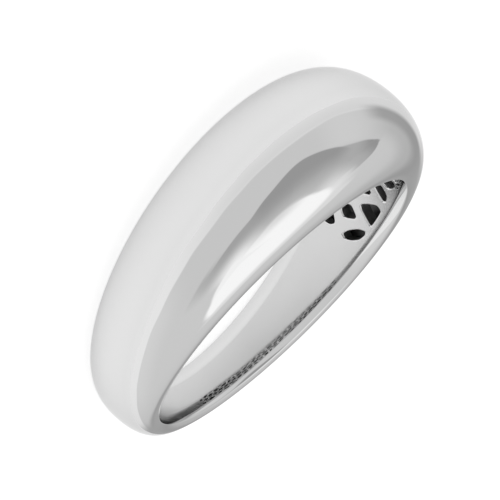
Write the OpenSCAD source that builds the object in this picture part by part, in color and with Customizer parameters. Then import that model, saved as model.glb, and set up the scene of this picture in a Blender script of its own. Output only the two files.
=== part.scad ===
// Dome ring: one polished casting, with a hollow dome over the finger, a pierced plate that closes
// the hollow against the finger, and a narrow shank. It lies on its side on the surface at z = 0.

/* [Finger hole] */
// Inside diameter of the ring
finger_d = 17.2; // [14:0.1:22]

/* [Dome] */
// Height of the dome's crest above the finger
dome_rise = 3.65; // [2.8:0.05:6]
// Width of the ring across the middle of the dome
dome_w = 7.55; // [6:0.05:12]
// How quickly the dome falls away towards the shank
dome_fall = 3.05; // [2:0.05:4.5]
// Fullness of the crown, where 2 is a plain ellipse
fullness = 2.17; // [1.9:0.01:2.8]

/* [Shank] */
// Thickness of the shank opposite the dome
shank_t = 1.35; // [1:0.05:1.8]
// Width of the shank opposite the dome
shank_w = 2.8; // [1.8:0.05:5]

/* [Rolled rim] */
// How far the rim's rounding reaches out from the finger hole
rim_reach = 0.54; // [0.3:0.01:0.8]
// How far the rounding cuts in from the side of the ring
rim_inset = 0.37; // [0.2:0.01:0.6]

/* [Hollow] */
// Wall of the dome over the hollow
dome_wall = 0.8; // [0.5:0.05:1]
// Wall between the hollow and each side of the ring
side_wall = 0.75; // [0.6:0.05:1.2]
// Thickness of the pierced plate between the hollow and the finger
plate_t = 0.7; // [0.4:0.05:0.9]
// Height of the hollow at its two ends
hollow_least = 0.4; // [0.2:0.05:0.6]

/* [Openwork] */
// Width of the bars between two openings
bar_w = 0.42; // [0.3:0.01:0.7]
// Plain border between the openings and the edge of the finger hole
border_w = 0.32; // [0.2:0.01:0.8]
// Distance from one column of openings to the next, along the ring
column_step = 1.12; // [0.9:0.01:2]
// Distance between two openings of one column, across the ring
row_step = 1.55; // [1.2:0.01:2.4]

/* [Hidden] */

// Sections round the ring, and the steps of one section over the crown and over each rim
SECTIONS = 80;
CROWN_STEPS = 18;
RIM_STEPS = 3;
// Sections and steps of the hollow
HOLLOW_SECTIONS = 40;
HOLLOW_STEPS = 10;
// Flat between the finger hole and the rim's rounding
LIP = 0.03;
// How far a tool runs past the wall that it cuts
PAST = 0.4;
// Share of a side that is cut off at each corner of an opening
CORNER_SHARE = 0.22;
// Smallest opening that is still pierced, as a share of a column step by a row step
LEAST_SHARE = 0.17;

// Openings that are sawn freely at one end of the plate, each by its corners: column steps from the
// end, and row steps from the middle of the ring
FREE_OPENING_STEPS = [
    [[0.0, -0.3], [0.25, -0.16], [0.68, -0.42], [0.35, -0.88], [-0.05, -0.78]],
    [[1.15, 0.4], [1.35, 0.42], [1.7, 0.1], [1.62, -0.03], [1.3, -0.17], [1.1, -0.16], [0.85, 0.06]],
    [[0.1, 0.68], [0.4, 0.9], [0.8, 1.0], [0.97, 0.95], [0.8, 0.68], [0.4, 0.4], [0.05, 0.27], [-0.15, 0.36]],
    [[1.52, 1.08], [2.65, 1.2], [2.88, 0.98], [2.3, 0.5], [2.1, 0.42], [1.9, 0.52], [1.48, 1.02]],
    [[3.1, 0.58], [3.35, 0.62], [3.65, 0.42], [3.6, 0.08], [3.1, -0.05], [2.8, 0.22]],
    [[3.6, 1.27], [4.1, 1.24], [4.5, 0.97], [4.0, 0.73], [3.85, 0.76], [3.4, 1.16]],
    [[5.0, 1.42], [5.5, 1.56], [6.0, 1.5], [5.6, 1.15], [4.85, 0.98], [4.5, 1.17]]
];
// Centres of the openings between and beyond them, in the same steps. Those past the end stay
// closed, and only give their neighbours their outline.
END_PLACE_STEPS = [
    [-0.9, 0.2], [-0.9, -0.7], [-0.6, 1.2],
    [1.35, -0.85], [0.35, -1.5], [1.6, 1.9],
    [2.3, -0.4], [2.55, -1.3], [3.2, 2.0],
    [3.5, -0.75], [4.45, 0.2], [4.3, -1.35],
    [5.35, 0.5], [5.2, -0.5], [5.4, -1.55],
    [6.4, 0.7], [6.25, -0.35], [6.45, -1.3]
];
// How many columns these lists fill, how far the openings after them wander, as a share of the
// steps, and the angles that spread this wandering
HAND_PLACED_COLUMNS = 7;
WANDER_SHARE = 0.24;
ANGLE_ALONG = 137;
ANGLE_ACROSS = 71;

finger_r = finger_d / 2;
rim_r = finger_r + rim_reach;
plate_r = finger_r + plate_t;
mean_half_w = (dome_w + shank_w) / 4;
swing_half_w = (dome_w - shank_w) / 4;
// The two sides are flat planes that close in towards the shank by this angle
lean = atan(swing_half_w / rim_r);

// Height of the ring over the finger, at an angle from the middle of the dome
function rise(a) = shank_t + (dome_rise - shank_t) * pow(abs(cos(a / 2)), dome_fall);

// Half the width of the ring at that angle
function half_w(a) = mean_half_w + swing_half_w * cos(a);

// The angle at which only the least height of the hollow is left between plate and dome
hollow_end = 2 * acos(pow((hollow_least + plate_t + dome_wall - shank_t) / (dome_rise - shank_t),
                          1 / dome_fall));

// Point of a crown with this height and half width, from 0 on one side to 180 on the other
function crown(t, height, half) = [height * pow(sin(t), 2 / fullness),
                                   half * sign(cos(t)) * pow(abs(cos(t)), 2 / fullness)];

function flipped(points) = [for (i = [len(points) - 1 : -1 : 0]) [points[i][0], -points[i][1]]];

// The rolled rim on one side of a section, from the finger hole outwards
function rim(half) = [for (i = [0 : RIM_STEPS - 1]) let (q = 90 * i / RIM_STEPS)
    [finger_r + LIP + (rim_reach - LIP) * (1 - cos(q)), half - rim_inset * (1 - sin(q))]];

// A section of the ring, as distances from the finger's axis and along it
function ring_section(a) = let (half = half_w(a), edge = rim(half))
    concat([[finger_r - PAST, half - rim_inset]], edge,
           [for (i = [0 : CROWN_STEPS])
               let (p = crown(180 * i / CROWN_STEPS, rise(a) - rim_reach, half)) [rim_r + p[0], p[1]]],
           flipped(edge), [[finger_r - PAST, rim_inset - half]]);

// A section of the hollow, flat on the plate and crowned under the dome
function hollow_section(a) = [for (i = [0 : HOLLOW_STEPS])
    let (p = crown(180 * i / HOLLOW_STEPS, rise(a) - dome_wall - plate_t, half_w(a) - side_wall))
    [plate_r + p[0], p[1]]];

function turned(section, a) = [for (p = section) [p[0] * sin(a), p[0] * cos(a), p[1]]];

// Two triangles for each pair of neighbours on two sections of n points, from one row to another
function strip(from, to, n) = [for (j = [0 : n - 1]) let (k = (j + 1) % n)
    each [[from * n + j, from * n + k, to * n + j], [from * n + k, to * n + k, to * n + j]]];

// The ring's outside, closed on itself
ring_points = [for (i = [0 : SECTIONS - 1]) let (a = 360 * i / SECTIONS) each turned(ring_section(a), a)];
ring_n = len(ring_section(0));
ring_faces = [for (i = [0 : SECTIONS - 1]) each strip(i, (i + 1) % SECTIONS, ring_n)];

// The hollow, with a flat wall at each end
hollow_n = HOLLOW_STEPS + 1;
hollow_points = [for (i = [0 : HOLLOW_SECTIONS]) let (a = hollow_end * (2 * i / HOLLOW_SECTIONS - 1))
    each turned(hollow_section(a), a)];
hollow_faces = concat([for (i = [0 : HOLLOW_SECTIONS - 1]) each strip(i, i + 1, hollow_n)],
    [[for (j = [hollow_n - 1 : -1 : 0]) j], [for (j = [0 : hollow_n - 1]) HOLLOW_SECTIONS * hollow_n + j]]);

// The ring lies on its lower side, with its origin under the middle of its box
function leaned(p) = [p[0], p[1] * cos(lean) - p[2] * sin(lean), p[1] * sin(lean) + p[2] * cos(lean)];
leaned_points = [for (p = ring_points) leaned(p)];
middle_y = (max([for (p = leaned_points) p[1]]) + min([for (p = leaned_points) p[1]])) / 2;
lowest_z = min([for (p = leaned_points) p[2]]);

// Centres of the openings, along the plate from the dome's middle and across it from the ring's.
// The far half is the near one after half a turn.
plate_end = hollow_end * PI / 180 * finger_r - border_w;
last_column = floor(plate_end / column_step - 0.3);
most_rows = ceil(dome_w / 2 / row_step);
function mean_point(shape) = [for (p = shape) 1] * shape / len(shape);
regular_places = [for (i = [HAND_PLACED_COLUMNS : last_column], j = [-most_rows : most_rows])
    [i + WANDER_SHARE * sin(ANGLE_ALONG * i + ANGLE_ACROSS * j),
     j + (i % 2) / 2 + WANDER_SHARE * cos(ANGLE_ACROSS * i - ANGLE_ALONG * j)]];
half_places = concat([for (shape = FREE_OPENING_STEPS) mean_point(shape)], END_PLACE_STEPS, regular_places);
function on_plate(p) = [plate_end - p[0] * column_step, p[1] * row_step];
half_centres = [for (p = half_places) on_plate(p)];
half_n = len(half_centres);
centres = concat(half_centres, -half_centres);

// An opening before anything trims it: the freely sawn one, or a strip across the plate
function untrimmed(k) = let (i = k % half_n, half_turn = k < half_n ? 1 : -1)
    i < len(FREE_OPENING_STEPS) ? [for (p = FREE_OPENING_STEPS[i]) half_turn * on_plate(p)] :
    [for (s = [[-1, -1], [1, -1], [1, 1], [-1, 1]]) [centres[k][0] + s[0] * row_step, s[1] * dome_w]];

// The part of a shape on the near side of a line through a point, square to the way given
function trimmed(shape, at, way) = [for (i = [0 : len(shape) - 1])
    let (p = shape[i], q = shape[(i + 1) % len(shape)], from = (p - at) * way, to = (q - at) * way)
    each concat(from <= 0 ? [p] : [], from * to < 0 ? [p + (q - p) * from / (from - to)] : [])];

// What is left of a shape round a centre once a bar stands halfway to each neighbour
function netted(shape, centre, others, i = 0) = i >= len(others) || len(shape) < 3 ? shape :
    let (gap = others[i] - centre, way = gap / norm(gap))
    netted(trimmed(shape, centre + gap / 2 - way * bar_w / 2, way), centre, others, i + 1);

function cornered(shape) = [for (i = [0 : len(shape) - 1])
    let (p = shape[i], before = shape[(i + len(shape) - 1) % len(shape)], after = shape[(i + 1) % len(shape)])
    each [p + (before - p) * CORNER_SHARE, p + (after - p) * CORNER_SHARE]];

function cross_sum(shape, i = 0) = i >= len(shape) ? 0 :
    let (p = shape[i], q = shape[(i + 1) % len(shape)]) p[0] * q[1] - p[1] * q[0] + cross_sum(shape, i + 1);

// Outline of an opening, clear of the border and of its neighbours
function outline(k) = let (
    centre = centres[k],
    room = half_w(centre[0] / finger_r * 180 / PI) - max(rim_inset + border_w, side_wall),
    bordered = trimmed(trimmed(untrimmed(k), [0, room], [0, 1]), [0, -room], [0, -1]))
    netted(bordered, centre, [for (c = centres) if (c != centre && norm(c - centre) < 2 * row_step) c]);

module opening(k) {
    centre = centres[k];
    shape = outline(k);
    if (abs(centre[0]) < plate_end && cross_sum(shape) / 2 > LEAST_SHARE * column_step * row_step)
        rotate([0, 0, -centre[0] / finger_r * 180 / PI]) translate([0, finger_r - PAST, 0])
            rotate([-90, 0, 0]) linear_extrude(plate_t + 1.5 * PAST)
                polygon([for (p = cornered(shape)) [p[0] - centre[0], -p[1]]]);
}

module ring() {
    color("silver")
        translate([0, -middle_y, -lowest_z]) rotate([lean, 0, 0]) difference() {
            polyhedron(ring_points, ring_faces);
            polyhedron(hollow_points, hollow_faces);
            for (k = [0 : len(centres) - 1]) opening(k);
            cylinder(h = dome_w + 2 * PAST, r = finger_r, center = true, $fn = 180);
        }
}

ring();
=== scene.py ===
# %% [markdown]
# # A polished dome ring
#
# This lesson dresses a dome ring: a wide, hollow, mirror-polished crown that narrows to a slim
# shank, with a pierced plate against the finger. The real ring is cast from wax in one piece,
# so it is one closed mesh here too.
#
# The engineering model is loaded first. It is the frame: it says where the ring lies and how large
# it is.

# %% Load the frame
import math

import bmesh
import bpy
import numpy as np
from mathutils import Matrix, Vector


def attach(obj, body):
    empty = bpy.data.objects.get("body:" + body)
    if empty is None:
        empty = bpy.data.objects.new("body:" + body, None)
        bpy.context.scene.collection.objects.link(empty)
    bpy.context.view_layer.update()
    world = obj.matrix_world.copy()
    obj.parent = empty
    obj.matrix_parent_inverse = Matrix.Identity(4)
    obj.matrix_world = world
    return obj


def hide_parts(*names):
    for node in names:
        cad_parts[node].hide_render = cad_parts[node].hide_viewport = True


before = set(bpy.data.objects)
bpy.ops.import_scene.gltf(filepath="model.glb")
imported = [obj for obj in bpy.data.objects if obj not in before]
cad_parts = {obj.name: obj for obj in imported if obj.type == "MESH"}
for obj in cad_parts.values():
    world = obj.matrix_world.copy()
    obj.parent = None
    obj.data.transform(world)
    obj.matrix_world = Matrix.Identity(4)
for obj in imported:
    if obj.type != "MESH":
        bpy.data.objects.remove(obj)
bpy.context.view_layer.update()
print("solids in the frame:", sorted(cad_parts))

# %% [markdown]
# ## The ring's sizes
#
# A jeweller would note these on the bench card: the finger size, how high and wide the dome stands,
# and how thin the metal is. All of them are millimetres. Everything below is worked out from them,
# so the ring keeps its proportions when one of them changes.

# %% Sizes from the bench card
MM = 0.001

finger_r = 17.2 / 2
dome_rise = 3.65
dome_w = 7.55
dome_fall = 3.05
fullness = 2.17
shank_t = 1.35
shank_w = 2.8
rim_reach = 0.54
rim_inset = 0.37
dome_wall = 0.8
side_wall = 0.75
plate_t = 0.7
hollow_least = 0.4

rim_r = finger_r + rim_reach
plate_r = finger_r + plate_t
mean_half_w = (dome_w + shank_w) / 4
swing_half_w = (dome_w - shank_w) / 4
print("dome", dome_w, "mm wide and", dome_rise, "mm high, shank", shank_w, "mm wide")

# %% [markdown]
# ## Two laws shape the whole ring
#
# The height over the finger could be drawn by hand at a dozen stations. A law is smoother, and a
# mirror finish shows every ripple: the height follows a power of the cosine of half the angle from
# the dome's middle. The half width follows a plain cosine, which makes each side of the ring a flat
# plane. That is why such a ring lies still on its side.

# %% Height and width round the ring
def rise(angle):
    """Height of the metal over the finger, at an angle from the dome's middle."""
    return shank_t + (dome_rise - shank_t) * np.abs(np.cos(angle / 2)) ** dome_fall


def half_width(angle):
    return mean_half_w + swing_half_w * np.cos(angle)


for degrees in (0, 60, 120, 180):
    turn = math.radians(degrees)
    height, half = float(rise(turn)), float(half_width(turn))
    print(degrees, "degrees: height", round(height, 2), "half width", round(half, 2))

# %% [markdown]
# ## The rim
#
# Where the side of the ring meets the finger hole, the edge is eased so that the ring slides on. The
# side itself is nearly flat, then a tight corner follows, and a wider curve runs into the hole. In a
# mirror finish each of these arcs shows as a band of its own: the wide one gathers the whole far
# wall into a thin dark line, and the tight one shows as a thin light line. So the rim is drawn as
# three arcs, each given by its radius and by how far the surface has turned where it ends.

# %% Arcs of the rim
ARC_STEPS = 7
inner_turn, inner_radius = 20, 2.1
corner_turn, corner_radius = 78, 0.08


def arc(start, turn_from, turn_to, radius):
    """Points of an arc that starts where another ends, as (distance out, distance along)."""
    t = np.radians(np.linspace(turn_from, turn_to, ARC_STEPS + 1))[1:]
    out = radius * (math.cos(math.radians(turn_from)) - np.cos(t))
    along = radius * (np.sin(t) - math.sin(math.radians(turn_from)))
    return start + np.stack([out, along], 1)


rim_profile = [np.zeros((1, 2))]
rim_profile.append(arc(rim_profile[-1][-1], 0, inner_turn, inner_radius))
rim_profile.append(arc(rim_profile[-1][-1], inner_turn, corner_turn, corner_radius))
side_radius = (rim_reach - rim_profile[-1][-1][0]) / math.cos(math.radians(corner_turn))
rim_profile.append(arc(rim_profile[-1][-1], corner_turn, 90, side_radius))
rim_profile = np.concatenate(rim_profile)
rim_ease = rim_profile[-1][1]
print("the rim turns in over", round(rim_ease, 3), "mm, its side's radius is", round(side_radius, 2), "mm")

# %% [markdown]
# ## One section of the ring
#
# A section is the cut that a saw would make through the ring. Going round it, there is the rim, the
# crown, the other rim and the wall of the finger hole. The crown is a slightly full ellipse,
# sometimes called a superellipse.

# %% Points of a section
CROWN_STEPS = 72
HOLE_STEPS = 26


def crown(steps, height, half):
    """Points over a crown, from one side to the other, as (height, place along the finger)."""
    t = np.linspace(0, math.pi, steps + 1)
    up = height * np.sin(t).clip(0) ** (2 / fullness)
    along = half * np.sign(np.cos(t)) * np.abs(np.cos(t)) ** (2 / fullness)
    return np.stack([up, along], 1)


def ring_section(angle):
    """Closed section as (distance from the finger's axis, place along it)."""
    half = float(half_width(angle))
    edge = half - rim_ease
    rim = rim_profile[:-1] + [finger_r, edge]
    top = crown(CROWN_STEPS, float(rise(angle)) - rim_reach, half) + [rim_r, 0]
    hole = np.linspace(-edge, edge, HOLE_STEPS + 1)[:-1]
    wall = np.stack([np.full(HOLE_STEPS, finger_r), hole], 1)
    other_rim = (rim * [1, -1])[:0:-1]
    return np.concatenate([rim, top, other_rim, wall])


print("points in a section:", len(ring_section(0.0)))

# %% [markdown]
# ## From sections to skin
#
# Sections could be bridged with Blender's loft tools, but a ring is a plain grid: section by section
# and point by point. Writing the grid as four-sided faces keeps the mesh even, and an even mesh
# is what a mirror finish needs. The reflections would wobble over uneven faces.

# %% Skin the sections
SECTIONS = 384


def turned(section, angle):
    """A section swung round the finger's axis, with the dome's middle towards +Y."""
    r, z = section[:, 0], section[:, 1]
    return np.stack([r * math.sin(angle), r * math.cos(angle), z], 1)


def grid_faces(rows, n, closed):
    """Four-sided faces between rows of n points, where each row is a closed loop."""
    last = rows if closed else rows - 1
    return [
        (i * n + j, i * n + (j + 1) % n, (i + 1) % rows * n + (j + 1) % n, (i + 1) % rows * n + j)
        for i in range(last)
        for j in range(n)
    ]


def new_piece(name, points, faces):
    mesh = bpy.data.meshes.new(name)
    mesh.from_pydata([tuple(p) for p in np.asarray(points)], [], faces)
    mesh.validate()
    mesh.update()
    piece = bpy.data.objects.new(name, mesh)
    bpy.context.scene.collection.objects.link(piece)
    return piece


angles = np.arange(SECTIONS) * 2 * math.pi / SECTIONS
rows = [turned(ring_section(a), a) for a in angles]
ring = new_piece("dome_ring", np.concatenate(rows), grid_faces(SECTIONS, len(rows[0]), True))
print("ring before piercing:", len(ring.data.polygons), "faces")

# %% [markdown]
# ## The hollow under the dome
#
# A solid dome of this size would be heavy and would sink as it cools, so the wax is hollowed from
# the finger side. The hollow is a smaller crown that stands on the plate, and it ends where plate and
# dome wall leave too little room between them. It is a closed tool that is cut out of the ring.

# %% The hollow as a tool
HOLLOW_SECTIONS = 160
HOLLOW_STEPS = 28

hollow_end = 2 * math.acos(
    ((hollow_least + plate_t + dome_wall - shank_t) / (dome_rise - shank_t)) ** (1 / dome_fall)
)


def hollow_section(angle):
    room = float(rise(angle)) - dome_wall - plate_t
    return crown(HOLLOW_STEPS, room, float(half_width(angle)) - side_wall) + [plate_r, 0]


def closed_tube(name, loops):
    """A tool with a skin along its loops of points and a flat face on both ends."""
    n = len(loops[0])
    faces = grid_faces(len(loops), n, False)
    faces.append(tuple(range(n - 1, -1, -1)))
    faces.append(tuple((len(loops) - 1) * n + j for j in range(n)))
    return new_piece(name, np.concatenate(loops), faces)


hollow = closed_tube(
    "hollow_tool",
    [turned(hollow_section(a), a) for a in np.linspace(-hollow_end, hollow_end, HOLLOW_SECTIONS + 1)],
)
print("hollow ends", round(math.degrees(hollow_end), 1), "degrees from the dome's middle")

# %% [markdown]
# ## A net of openings
#
# The plate is pierced in an irregular net. The plaster in the hollow comes out through it after the
# casting, the ring gets lighter, and the skin under it can breathe. Openings could be drawn one by
# one. Here only their centres are chosen, and every opening takes the ground that is nearer to its
# own centre than to any other, less half a bar. Mathematicians call this a Voronoi net. At the
# shoulder, where one can look in, a few outlines are drawn freely and the centres between them are
# listed.

# %% Openings at the shoulder
bar_w = 0.42
border_w = 0.32
column_step = 1.12
row_step = 1.55

# corners, each as columns from the end of the plate and rows from the middle of the ring
free_openings = [
    [(0.0, -0.3), (0.25, -0.16), (0.68, -0.42), (0.35, -0.88), (-0.05, -0.78)],
    [(1.15, 0.4), (1.35, 0.42), (1.7, 0.1), (1.62, -0.03), (1.3, -0.17), (1.1, -0.16), (0.85, 0.06)],
    [(0.1, 0.68), (0.4, 0.9), (0.8, 1.0), (0.97, 0.95), (0.8, 0.68), (0.4, 0.4), (0.05, 0.27),
     (-0.15, 0.36)],
    [(1.52, 1.08), (2.65, 1.2), (2.88, 0.98), (2.3, 0.5), (2.1, 0.42), (1.9, 0.52), (1.48, 1.02)],
    [(3.1, 0.58), (3.35, 0.62), (3.65, 0.42), (3.6, 0.08), (3.1, -0.05), (2.8, 0.22)],
    [(3.6, 1.27), (4.1, 1.24), (4.5, 0.97), (4.0, 0.73), (3.85, 0.76), (3.4, 1.16)],
    [(5.0, 1.42), (5.5, 1.56), (6.0, 1.5), (5.6, 1.15), (4.85, 0.98), (4.5, 1.17)],
]
# centres of the openings between them, and of closed ones past the end that only trim the others
shoulder_places = [
    (-0.9, 0.2), (-0.9, -0.7), (-0.6, 1.2),
    (1.35, -0.85), (0.35, -1.5), (1.6, 1.9),
    (2.3, -0.4), (2.55, -1.3), (3.2, 2.0),
    (3.5, -0.75), (4.45, 0.2), (4.3, -1.35),
    (5.35, 0.5), (5.2, -0.5), (5.4, -1.55),
    (6.4, 0.7), (6.25, -0.35), (6.45, -1.3),
]
print("outlines drawn freely:", len(free_openings), "and centres placed:", len(shoulder_places))

# %% [markdown]
# ## The rest of the net
#
# Past the shoulder the centres stand in staggered columns, and each wanders a little from its place.
# Random numbers could move them. Sines of large angles look as irregular, and they are the same on
# every computer. The far half of the plate is the near half after half a turn.

# %% Centres of the openings
hand_placed_columns = 7
wander_share = 0.24
angle_along = math.radians(137)
angle_across = math.radians(71)
# the regular columns stop this share of a step short of the dome's middle
middle_gap = 0.3

plate_end = hollow_end * finger_r - border_w
last_column = math.floor(plate_end / column_step - middle_gap)
most_rows = math.ceil(dome_w / 2 / row_step)
places = [tuple(np.mean(corners, 0)) for corners in free_openings] + shoulder_places
for i in range(hand_placed_columns, last_column + 1):
    for j in range(-most_rows, most_rows + 1):
        along = i + wander_share * math.sin(angle_along * i + angle_across * j)
        across = j + (i % 2) / 2 + wander_share * math.cos(angle_across * i - angle_along * j)
        places.append((along, across))


def on_plate(place):
    return np.array([plate_end - place[0] * column_step, place[1] * row_step])


half_net = np.array([on_plate(place) for place in places])
centres = np.concatenate([half_net, -half_net])
print("centres in the net:", len(centres))

# %% [markdown]
# ## From a centre to an outline
#
# Each outline starts as a strip across the plate, or as the shape that was drawn for it. Then every
# neighbour trims it with a straight cut halfway between the two centres. What is left has straight
# sides and sharp corners, as a saw leaves them.

# %% Outlines of the openings
def trimmed(shape, at, way):
    """The part of a shape on the near side of a line through a point, square to a direction."""
    kept = []
    for p, q in zip(shape, shape[1:] + shape[:1]):
        here, there = np.dot(p - at, way), np.dot(q - at, way)
        if here <= 0:
            kept.append(p)
        if here * there < 0:
            kept.append(p + (q - p) * here / (here - there))
    return kept


def untrimmed(k):
    """The freely drawn opening, or a strip across the plate round a centre."""
    i = k % len(half_net)
    half_turn = 1 if k < len(half_net) else -1
    if i < len(free_openings):
        return [half_turn * on_plate(corner) for corner in free_openings[i]]
    strip = [(-row_step, -dome_w), (row_step, -dome_w), (row_step, dome_w), (-row_step, dome_w)]
    return [np.array((centres[k][0] + along, across)) for along, across in strip]


def outline(k):
    """An opening clear of the plate's border and of its neighbours."""
    centre = centres[k]
    room = float(half_width(centre[0] / finger_r)) - max(rim_inset + border_w, side_wall)
    shape = untrimmed(k)
    for side in (1, -1):
        shape = trimmed(shape, np.array((0, side * room)), np.array((0, side)))
    for other in centres:
        gap = other - centre
        span = np.linalg.norm(gap)
        if 0 < span < 2 * row_step and len(shape) > 2:
            way = gap / span
            shape = trimmed(shape, centre + gap / 2 - way * bar_w / 2, way)
    return shape


print("corners of the first outline:", len(outline(0)))

# %% [markdown]
# ## Rounded corners
#
# After the saw comes a small file, which rounds the corners. A bevel could round them once they are
# solid. It is simpler while they are flat: a short curve starts on one side of a corner and ends on
# the other, so the opening never grows. One that comes out too small for a saw is left closed.

# %% Round the corners
CORNER_SHARE = 0.3
CORNER_STEPS = 4
LEAST_SHARE = 0.17
least_area = LEAST_SHARE * column_step * row_step


def area(shape):
    return sum(p[0] * q[1] - p[1] * q[0] for p, q in zip(shape, shape[1:] + shape[:1])) / 2


def rounded(shape):
    """The same outline with each corner taken round by a short curve."""
    points = []
    for before, p, after in zip(shape[-1:] + shape[:-1], shape, shape[1:] + shape[:1]):
        start, end = p + (before - p) * CORNER_SHARE, p + (after - p) * CORNER_SHARE
        for t in np.linspace(0, 1, CORNER_STEPS + 1):
            points.append(start * (1 - t) ** 2 + p * 2 * t * (1 - t) + end * t**2)
    return np.array(points)


outlines = []
for k, centre in enumerate(centres):
    shape = outline(k)
    if abs(centre[0]) < plate_end and len(shape) > 2 and area(shape) > least_area:
        outlines.append(rounded(shape))
print("openings to pierce:", len(outlines))

# %% [markdown]
# ## Piercing tools with a softened mouth
#
# A plain prism would leave a knife edge at each opening. A polished ring has none: the buff rounds
# every edge that it reaches. So each tool widens where it meets the finger hole, along a quarter
# circle. The tools are bent round the finger's axis, so the rounding is even all the way.

# %% Piercing tools
edge_round = 0.07
EDGE_STEPS = 4
past = 0.3


def tool_loops(shape):
    """Loops of one tool, from the finger hole outwards into the hollow."""
    middle = shape.mean(0)
    size = math.sqrt(abs(area(list(shape))) / math.pi)
    steps = [(finger_r - past, edge_round)]
    for q in np.linspace(0, math.pi / 2, EDGE_STEPS + 1):
        steps.append((finger_r + edge_round * (1 - math.cos(q)), edge_round * (1 - math.sin(q))))
    steps.append((plate_r + past, 0))
    loops = []
    for r, wider in steps:
        flat = middle + (shape - middle) * (1 + wider / size)
        turn = flat[:, 0] / finger_r
        loops.append(np.stack([r * np.sin(turn), r * np.cos(turn), flat[:, 1]], 1))
    return loops


tools = [closed_tube(f"opening_tool_{i:02d}", tool_loops(shape)) for i, shape in enumerate(outlines)]
print("piercing tools:", len(tools))

# %% [markdown]
# ## Cutting
#
# The hollow is cut away first. The piercing tools are then joined into one mesh, so that one more
# Boolean step cuts them all. Blender's Boolean modifier needs closed meshes with outward faces, so
# the faces of each mesh are turned outwards first. The result is a plain mesh again, with no
# modifier left on it.

# %% Cut the hollow and the openings
def face_outwards(piece):
    mesh = bmesh.new()
    mesh.from_mesh(piece.data)
    bmesh.ops.recalc_face_normals(mesh, faces=mesh.faces)
    mesh.to_mesh(piece.data)
    mesh.free()


def cut(piece, tool):
    """Replaces the piece's mesh with what the tool leaves of it."""
    step = piece.modifiers.new("cut", "BOOLEAN")
    step.operation = "DIFFERENCE"
    step.solver = "MANIFOLD"
    step.object = tool
    view = bpy.context.evaluated_depsgraph_get()
    result = bpy.data.meshes.new_from_object(piece.evaluated_get(view))
    piece.modifiers.clear()
    piece.data = result
    bpy.data.objects.remove(tool)


def joined(name, parts):
    whole = bmesh.new()
    for part in parts:
        face_outwards(part)
        whole.from_mesh(part.data)
        bpy.data.objects.remove(part)
    mesh = bpy.data.meshes.new(name)
    whole.to_mesh(mesh)
    whole.free()
    piece = bpy.data.objects.new(name, mesh)
    bpy.context.scene.collection.objects.link(piece)
    return piece


face_outwards(ring)
face_outwards(hollow)
cut(ring, hollow)
cut(ring, joined("openings_tool", tools))
print("ring after piercing:", len(ring.data.polygons), "faces")

# %% [markdown]
# ## Laying the ring down
#
# So far the finger's axis is upright. The ring rests on its flat lower side, so it leans over by the
# angle of that side and is lifted until it touches the surface. The middle of its box goes over the
# origin, as in the frame. The mesh is moved and the object isn't, so the piece stays at the origin.
# The same step turns millimetres into Blender's metres.

# %% Lean and place the mesh
lean = math.atan(swing_half_w / rim_r)
lean_over = Matrix.Rotation(lean, 4, "X")
points = np.array([lean_over @ vertex.co for vertex in ring.data.vertices])
shift = Vector((0, -(points[:, 1].max() + points[:, 1].min()) / 2, -points[:, 2].min()))
lay_down = Matrix.Scale(MM, 4) @ Matrix.Translation(shift) @ lean_over
ring.data.transform(lay_down)
ring_centre = lay_down @ Vector((0, 0, 0))
print("leans", round(math.degrees(lean), 2), "degrees, centre of the finger hole at", ring_centre)

# %% [markdown]
# ## Soft and sharp edges
#
# The skin is shaded smooth, because a mirror finish shows no faces. Only where two surfaces meet at
# a clear angle, such as inside the hollow and along the plate's back, the edge stays sharp.

# %% Shade the skin
SHARP_ANGLE = math.radians(32)

ring.data.shade_smooth()
ring.data.set_sharp_from_angle(angle=SHARP_ANGLE)
print("sharp edges:", sum(edge.use_edge_sharp for edge in ring.data.edges), "of", len(ring.data.edges))

# %% [markdown]
# ## Polished silver, and the cast skin inside
#
# Silver that has been buffed is a metal with hardly any roughness, and a thin plating of rhodium
# against tarnish makes it a shade greyer. A buff doesn't get into the finger hole as well as it gets
# over the dome, so the wall of the hole stays a little duller, and it is painted a darker grey as
# shade for the light that the deep hole loses. The inside of the hollow can't be reached at all, and
# keeps the dull, grainy skin of the casting, painted a dark grey as shade for the dim hollow. Each
# finish is a grey, a roughness and a relief, and these few numbers make the whole look.

# %% Greys, roughness and relief of the finishes
BUFFED_GREY = 0.70
GLANCING_GREY = 0.78
# darker grey of the finger hole's wall: painted shade for the light that the deep hole loses
HOLE_SHADE_GREY = 0.63
# dark grey of the hollow: painted shade for its dim inside; the grain is the real cast skin
HOLLOW_SHADE_GREY = 0.30

BUFFED_ROUGHNESS = (0.02, 0.06)
SATIN_ROUGHNESS = 0.22
CAST_ROUGHNESS = (0.35, 0.6)

# how many marks there are in a metre, and how high they stand
BUFF_MARKS = 240
WAVES, WAVE_HEIGHT = 300, 0.03 * MM
GRAINS, GRAIN_HEIGHT = 6000, 0.015 * MM
print("greys:", BUFFED_GREY, "buffed,", HOLE_SHADE_GREY, "satin and", HOLLOW_SHADE_GREY, "cast")

# %% [markdown]
# ## Helpers for a material
#
# A material in Blender is a small network of nodes. It could be clicked together in the editor, but a
# network that is written down can be read and changed line by line. Both finishes need the same three
# things: a random pattern, a way to bring it into a range, and a way to tilt the shading by it.

# %% Helpers for a material
def grey(value):
    return (value, value, value, 1)


def new_material(name):
    material = bpy.data.materials.new(name)
    material.use_nodes = True
    return material, material.node_tree, material.node_tree.nodes["Principled BSDF"]


def noise(tree, scale, detail):
    """A random pattern that stays where it is on the object."""
    texture = tree.nodes.new("ShaderNodeTexNoise")
    texture.inputs["Scale"].default_value = scale
    texture.inputs["Detail"].default_value = detail
    place = tree.nodes.new("ShaderNodeTexCoord")
    tree.links.new(place.outputs["Object"], texture.inputs["Vector"])
    return texture.outputs["Fac"]


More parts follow.
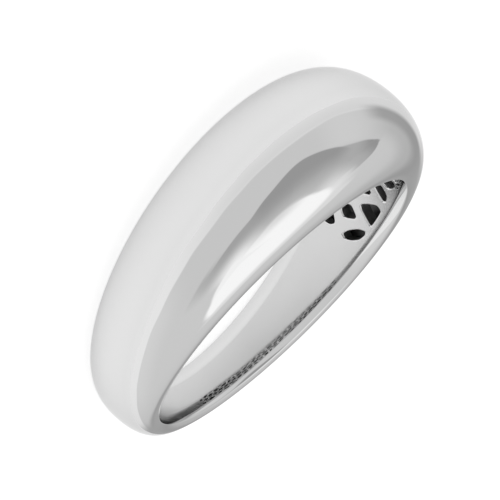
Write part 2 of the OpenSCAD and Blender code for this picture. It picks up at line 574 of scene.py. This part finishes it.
def spread(tree, value, low, high, value_low=0, value_high=1):
    """A value brought into a range, from the one that it has."""
    node = tree.nodes.new("ShaderNodeMapRange")
    node.inputs["From Min"].default_value = value_low
    node.inputs["From Max"].default_value = value_high
    node.inputs["To Min"].default_value = low
    node.inputs["To Max"].default_value = high
    tree.links.new(value, node.inputs["Value"])
    return node.outputs["Result"]


def raise_skin(tree, shader, texture, height):
    """Tilts the shading as if the texture stood this high on the skin."""
    relief = tree.nodes.new("ShaderNodeBump")
    relief.inputs["Distance"].default_value = height
    tree.links.new(texture, relief.inputs["Height"])
    tree.links.new(relief.outputs["Normal"], shader.inputs["Normal"])


print("the grey", BUFFED_GREY, "as a colour:", grey(BUFFED_GREY))

# %% [markdown]
# ## The polish
#
# The look of a mirror is nearly all reflections, so the polish only adds what a hand with a buff
# leaves behind: long waves that are far too low to feel, and a slow change in sharpness. A plated
# mirror also loses a little at a glancing angle, which draws a fine darker line along the outline,
# and the Specular Tint does this for a metal. The duller wall of the finger hole could be a material
# of its own, but two materials can't fade into each other. So one material reads a value from the
# mesh that is 1 on that wall, and gets rougher there, and greyer: the grey is painted shade for the
# light that the deep hole loses.

# %% Buffed silver
def buffed_silver():
    material, tree, shader = new_material("buffed_silver")
    shader.inputs["Metallic"].default_value = 1.0
    shader.inputs["Specular Tint"].default_value = grey(GLANCING_GREY)
    satin_and_shade = tree.nodes.new("ShaderNodeAttribute")
    satin_and_shade.attribute_name = "satin_and_shade"
    share = satin_and_shade.outputs["Fac"]
    # the wall of the finger hole turns greyer here: painted shade for the deep hole
    tree.links.new(spread(tree, share, BUFFED_GREY, HOLE_SHADE_GREY), shader.inputs["Base Color"])
    dulled = tree.nodes.new("ShaderNodeMath")
    dulled.operation = "MULTIPLY_ADD"
    dulled.inputs[1].default_value = SATIN_ROUGHNESS
    tree.links.new(share, dulled.inputs[0])
    tree.links.new(spread(tree, noise(tree, BUFF_MARKS, 3), *BUFFED_ROUGHNESS), dulled.inputs[2])
    tree.links.new(dulled.outputs["Value"], shader.inputs["Roughness"])
    raise_skin(tree, shader, noise(tree, WAVES, 1), WAVE_HEIGHT)
    return material


ring.data.materials.clear()
ring.data.materials.append(buffed_silver())
print("outside:", ring.data.materials[0].name)

# %% [markdown]
# ## The skin of the casting
#
# Plaster leaves a fine grain on the metal that is poured into it. One noise pattern makes both the
# grain's relief and its uneven dullness, because the two go together on the real skin. Its dark grey
# is painted shade for the dim inside of the hollow. It is the ring's second material, so that single
# faces can ask for it.

# %% Cast silver
def cast_skin_and_shade():
    material, tree, shader = new_material("cast_skin_and_shade")
    shader.inputs["Metallic"].default_value = 1.0
    # a dark grey: painted shade for the dim inside of the hollow
    shader.inputs["Base Color"].default_value = grey(HOLLOW_SHADE_GREY)
    grain = noise(tree, GRAINS, 4)
    tree.links.new(spread(tree, grain, *CAST_ROUGHNESS), shader.inputs["Roughness"])
    raise_skin(tree, shader, grain, GRAIN_HEIGHT)
    return material


ring.data.materials.append(cast_skin_and_shade())
print("inside the hollow:", ring.data.materials[1].name)

# %% [markdown]
# ## Which faces keep the cast skin
#
# Faces could be picked by hand, but the hollow's walls are thousands of small ones. A rule does it: a
# face keeps the cast skin, and with it the dark grey that is painted shade, if it lies behind the
# front of the plate, which the buff reaches, and well under the crown. How far under is told by the
# crown's own formula, which gives 1 on the crown and less the deeper a face lies.

# %% Sort the faces
POLISHED_SHARE_OF_PLATE = 0.3
UNDER_CROWN = 0.8

stand_up = lay_down.inverted()


def from_crown(point, angle, radius):
    """1 on the crown, and less inside it."""
    up = max(radius - rim_r, 0) / (float(rise(angle)) - rim_reach)
    aside = abs(point.z) / float(half_width(angle))
    return up**fullness + aside**fullness


def keeps_cast_skin_and_shade(point):
    angle = math.atan2(point.x, point.y)
    radius = math.hypot(point.x, point.y)
    behind_front = radius > finger_r + POLISHED_SHARE_OF_PLATE * plate_t
    return behind_front and from_crown(point, angle, radius) < UNDER_CROWN


for face in ring.data.polygons:
    face.material_index = int(keeps_cast_skin_and_shade(stand_up @ face.center))
print("faces with the cast skin:", sum(face.material_index for face in ring.data.polygons))

# %% [markdown]
# ## Where the finger hole is satin and painted darker as shade
#
# The value sits on the mesh's points. It is 1 on the wall of the finger hole, which is rougher there
# and painted a darker grey as shade, and falls to 0 as soon as the eased rim has left the wall, so
# the rim stays bright.

# %% Satin wall of the finger hole
SATIN_AND_SHADE_ENDS = 0.004

# 1 on the wall of the finger hole, which is rougher and painted a darker grey as shade
satin_and_shade = ring.data.attributes.new("satin_and_shade", "FLOAT", "POINT")
for vertex, value in zip(ring.data.vertices, satin_and_shade.data):
    point = stand_up @ vertex.co
    off_wall = math.hypot(point.x, point.y) - finger_r
    value.value = min(max(1 - off_wall / SATIN_AND_SHADE_ENDS, 0), 1)
print("satin points:", sum(value.value > 0 for value in satin_and_shade.data), "of", len(satin_and_shade.data))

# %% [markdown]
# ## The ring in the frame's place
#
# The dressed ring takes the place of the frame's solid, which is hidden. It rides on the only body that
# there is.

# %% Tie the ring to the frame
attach(ring, "root")
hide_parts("ring")
print("dressed ring:", ring.name, "with", len(ring.data.polygons), "faces")

# %% [markdown]
# ## The table
#
# Jewellery is often shot on a small round of white acrylic that is lit from below. The glow lifts the
# shadow, and only a soft grey is left where the ring touches down. The ring keeps light off the table
# near it, so the glow is stronger there and fades a little towards the edge. Beyond the round the
# tent goes on below the table's height, in the same white, so the edge can't be seen.

# %% Light table
TABLE_R = 32 * MM
TABLE_GREY = 0.52
GLOW = (0.68, 0.57)
GLOW_FADES = (8 * MM, 20 * MM)
TABLE_ROUGHNESS = 0.45
TABLE_SHINE = 0.2


def white_acrylic():
    material, tree, shader = new_material("white_acrylic")
    shader.inputs["Base Color"].default_value = grey(TABLE_GREY)
    shader.inputs["Roughness"].default_value = TABLE_ROUGHNESS
    shader.inputs["Specular IOR Level"].default_value = TABLE_SHINE
    shader.inputs["Emission Color"].default_value = grey(1)
    place = tree.nodes.new("ShaderNodeTexCoord")
    reach = tree.nodes.new("ShaderNodeVectorMath")
    reach.operation = "LENGTH"
    tree.links.new(place.outputs["Object"], reach.inputs[0])
    glow = spread(tree, reach.outputs["Value"], *GLOW, *GLOW_FADES)
    tree.links.new(glow, shader.inputs["Emission Strength"])
    return material


bpy.ops.mesh.primitive_circle_add(vertices=128, radius=TABLE_R, fill_type="NGON", location=(0, 0, 0))
floor = bpy.context.object
floor.name = "light_table"
floor.data.materials.append(white_acrylic())
print("light table", 2 * TABLE_R / MM, "mm across")

# %% [markdown]
# ## The tent
#
# A mirror finish shows nothing but its surroundings, so polished metal is lit by building what it
# should see. A photographer hangs a large softbox overhead, puts white cloth all round and a dark
# flag over one side, because a ring that sees only white looks flat. The flag shows in the dome as a
# grey crescent, and light from the softbox spills over it and fades. All this could be built from
# panels and lamps. Here the world does it without noise: each row below is one patch of the tent, by
# where it hangs as seen from the ring, and the later rows cover the earlier.
#
# Azimuth and elevation are in degrees, and a brightness of 1 is a plain white world. The low edge of
# a patch may rise to both sides of its middle, which gives the patch a rounded lower corner.

# %% Tent patches
CLOTH = 0.79
CORNER_ROUND = 8

# name, middle azimuth, half span, softness of the sides, low edge, its rise for each degree aside,
# high edge, softness of the low edge, softness of the high edge, brightness
TENT = [
    ("ground", 0, 360, 1, -90, 0, 0, 1, 1, 1.11),
    ("ground to the right", 70, 80, 50, -12, 0, 0, 12, 2, 0.92),
    ("cloth to the right", 42, 16, 12, 0, 0, 30, 1, 4, 0.85),
    ("flag", 82, 118, 1, 22.5, 0.33, 90, 1, 1, 0.53),
    ("flag's middle", 42, 18, 4, 32, 0, 90, 1, 1, 0.55),
    ("flag's far end", 150, 60, 1, 34.8, 0, 90, 1, 1, 0.51),
    ("flag's near end", 0, 60, 12, 26.8, 0.19, 90, 1, 1, 0.57),
    ("flag's tip", 0, 22, 10, 26.8, 0.19, 36, 1, 9, 0.38),
    ("flag's lower corner", 82, 42, 12, 22.5, 0.33, 44, 1, 10, 0.43),
    ("flag's last fold", 190, 26, 16, 31, 0, 50, 2, 14, 0.61),
    ("light spilled on the flag", 90, 110, 10, 56, 0, 90, 11, 1, 0.68),
    ("light spilled at its end", 176, 34, 26, 52, 0, 90, 13, 1, 1.20),
    ("cloth on the near side", -60, 67, 0.7, 0, 0, 90, 1, 4, 0.82),
    ("flag's side", 10, 14, 1, 27.3, 3, 50, 1, 4, 0.59),
    ("flag's side above its tip", 10, 14, 1, 27.3, 3, 38, 1, 7, 0.42),
    ("light spilled at its side", 12, 22, 24, 54, 0, 90, 10, 1, 0.94),
    ("cloth at the back of it", -110, 60, 15, 0, 0, 90, 1, 4, 0.82),
    ("cloth behind", -20, 32, 12, 0, 0, 22, 1, 8, 0.68),
    ("cloth to the left", -130, 45, 25, 0, 0, 12, 1, 14, 0.90),
    ("softbox", 0, 360, 1, 67.5, 0, 90, 1.8, 1, 1.31),
    ("softbox's far corner", -158, 34, 4, 60, 0, 90, 1.5, 1, 1.24),
    ("glow under the softbox", -35, 40, 18, 52, 0, 90, 8, 1, 1.08),
    ("softbox's near corner", -66, 110, 1, 48, 0.23, 90, 2, 1, 1.31),
    ("softbox's frosted edge", -50, 32, 6, 46, 0, 55, 2, 6.5, 1.00),
    ("softbox's dim edge", 105, 35, 35, 65, 0, 76, 3, 8, 0.98),
    ("dark line behind the table", -20, 38, 10, -3, 0, 9, 3, 4, 0.51),
    ("dark line to its left", -50, 16, 10, -12, 0, 2, 2, 3, 0.56),
]
print("patches in the tent:", len(TENT))

# %% [markdown]
# ## Looking out into the tent
#
# A world shader gets the direction that a ray leaves in, and azimuth and elevation are worked out from
# it. An image of a studio wrapped round the scene would do the same. With two angles, a patch stays
# sharp in a mirror at any size, and it can be moved by one number.

# %% Azimuth and elevation
world = bpy.data.worlds.new("tent")
bpy.context.scene.world = world
world.use_nodes = True
nodes, links = world.node_tree.nodes, world.node_tree.links


def calculate(operation, *values):
    """A math node fed with other nodes' outputs or with numbers."""
    node = nodes.new("ShaderNodeMath")
    node.operation = operation
    for socket, value in zip(node.inputs, values):
        if isinstance(value, bpy.types.NodeSocket):
            links.new(value, socket)
        else:
            socket.default_value = value
    return node.outputs["Value"]


direction = nodes.new("ShaderNodeTexCoord").outputs["Generated"]
split = nodes.new("ShaderNodeSeparateXYZ")
links.new(direction, split.inputs["Vector"])
elevation = calculate("DEGREES", calculate("ARCSINE", split.outputs["Z"]))
azimuth = calculate("DEGREES", calculate("ARCTAN2", split.outputs["Y"], split.outputs["X"]))
print("nodes for the two angles:", len(nodes))

# %% [markdown]
# ## A patch as a mask
#
# A sheet of cloth on a frame has a soft or a crisp edge, by how near it hangs. So each edge of a patch
# is a smooth step of its own width, and the steps are multiplied.

# %% Mask of a patch
def soft_step(value, edge, soft):
    """0 below the edge, 1 above it, and a smooth change between."""
    node = nodes.new("ShaderNodeMapRange")
    node.interpolation_type = "SMOOTHSTEP"
    node.inputs["From Min"].default_value = edge - soft
    node.inputs["From Max"].default_value = edge + soft
    links.new(value, node.inputs["Value"])
    return node.outputs["Result"]


def patch_mask(middle, half_span, soft_side, low, rise_aside, high, soft_low, soft_high):
    """1 on a patch of the tent and 0 beside it."""
    away = calculate("ABSOLUTE", calculate("WRAP", calculate("SUBTRACT", azimuth, middle), 180, -180))
    mask = calculate("SUBTRACT", 1, soft_step(away, half_span, soft_side))
    if rise_aside:
        aside = calculate("SQRT", calculate("MULTIPLY_ADD", away, away, CORNER_ROUND**2))
        over = calculate("SUBTRACT", elevation, calculate("MULTIPLY", aside, rise_aside))
        mask = calculate("MULTIPLY", mask, soft_step(over, low - CORNER_ROUND * rise_aside, soft_low))
    elif low > -90:
        mask = calculate("MULTIPLY", mask, soft_step(elevation, low, soft_low))
    if high < 90:
        mask = calculate("MULTIPLY", mask, calculate("SUBTRACT", 1, soft_step(elevation, high, soft_high)))
    return mask


print("softest side in the tent:", max(patch[3] for patch in TENT), "degrees")

# %% [markdown]
# ## Hanging the patches
#
# The plain cloth comes first. Then each patch pulls the brightness towards its own, as far as its mask
# says, and its last node gets its name as a label for whoever opens the network.

# %% Hang the patches
brightness = CLOTH
for name, *place_in_tent, value in TENT:
    step = calculate("MULTIPLY", calculate("SUBTRACT", value, brightness), patch_mask(*place_in_tent))
    brightness = calculate("ADD", brightness, step)
    brightness.node.label = name
links.new(brightness, nodes["Background"].inputs["Strength"])
nodes["Background"].inputs["Color"].default_value = grey(1)
bpy.context.scene.view_settings.view_transform = "Standard"
print("nodes in the tent:", len(nodes))

# %% [markdown]
# ## A lamp for the table alone
#
# The tent is as bright as the metal should see it, and that is too dim for a white table. An area
# lamp overhead makes up for it. It is hidden from reflections, so the metal keeps its clean softbox.

# %% Top lamp
LAMP_W = 350 * MM
LAMP_HEIGHT = 400 * MM
LAMP_POWER = 0.10

lamp_data = bpy.data.lights.new("top_light", "AREA")
lamp_data.size = LAMP_W
lamp_data.energy = LAMP_POWER
lamp = bpy.data.objects.new("top_light", lamp_data)
lamp.location = (0, 0, LAMP_HEIGHT)
lamp.visible_glossy = False
lamp.visible_camera = False
bpy.context.scene.collection.objects.link(lamp)
print("lamp of", LAMP_POWER, "W,", LAMP_HEIGHT / MM, "mm above the table")

# %% [markdown]
# ## The camera
#
# The camera looks at the ring from the dome's left, a little over the ring's middle plane, and it is
# rolled so that the ring runs up to the right. A camera could be aimed with a constraint. Here its
# angles were measured against the ring's own axis, so it is turned by them and stands off from the
# middle of the finger hole. A long lens keeps the ring's proportions true.

# %% Camera
side_turn = math.radians(46.52)
above_middle = math.radians(17.30)
roll = math.radians(50.27)
distance = 286.0 * MM
SENSOR_W = 36

# the picture is square, and these give its side, its scale at the ring, and where the middle of the
# finger hole lies in it
picture_pixels = 500
pixels_per_mm = 19.414
ring_pixel = (247.8, 272.8)

spin = Matrix.Rotation(-side_turn, 3, "Z")
tip = Matrix.Rotation(math.pi / 2 - above_middle, 3, "X")
rolled = Matrix.Rotation(roll, 3, "Z")
to_camera = rolled @ tip @ spin
turn = Matrix.Rotation(lean, 3, "X") @ to_camera.transposed()

camera_data = bpy.data.cameras.new("camera")
camera_data.sensor_width = SENSOR_W
camera_data.lens = SENSOR_W * pixels_per_mm * distance / MM / picture_pixels
camera_data.clip_start = 10 * MM
camera_data.clip_end = 10000 * MM
camera = bpy.data.objects.new("camera", camera_data)
bpy.context.scene.collection.objects.link(camera)
half_picture = picture_pixels / 2
aside = Vector((half_picture - ring_pixel[0], ring_pixel[1] - half_picture, 0)) / pixels_per_mm * MM
stand = ring_centre + turn @ (aside + Vector((0, 0, distance)))
camera.matrix_world = Matrix.Translation(stand) @ turn.to_4x4()
bpy.context.scene.camera = camera
look = turn @ Vector((0, 0, 1))
print("camera", round(math.degrees(math.asin(look.z)), 1), "degrees above the floor")
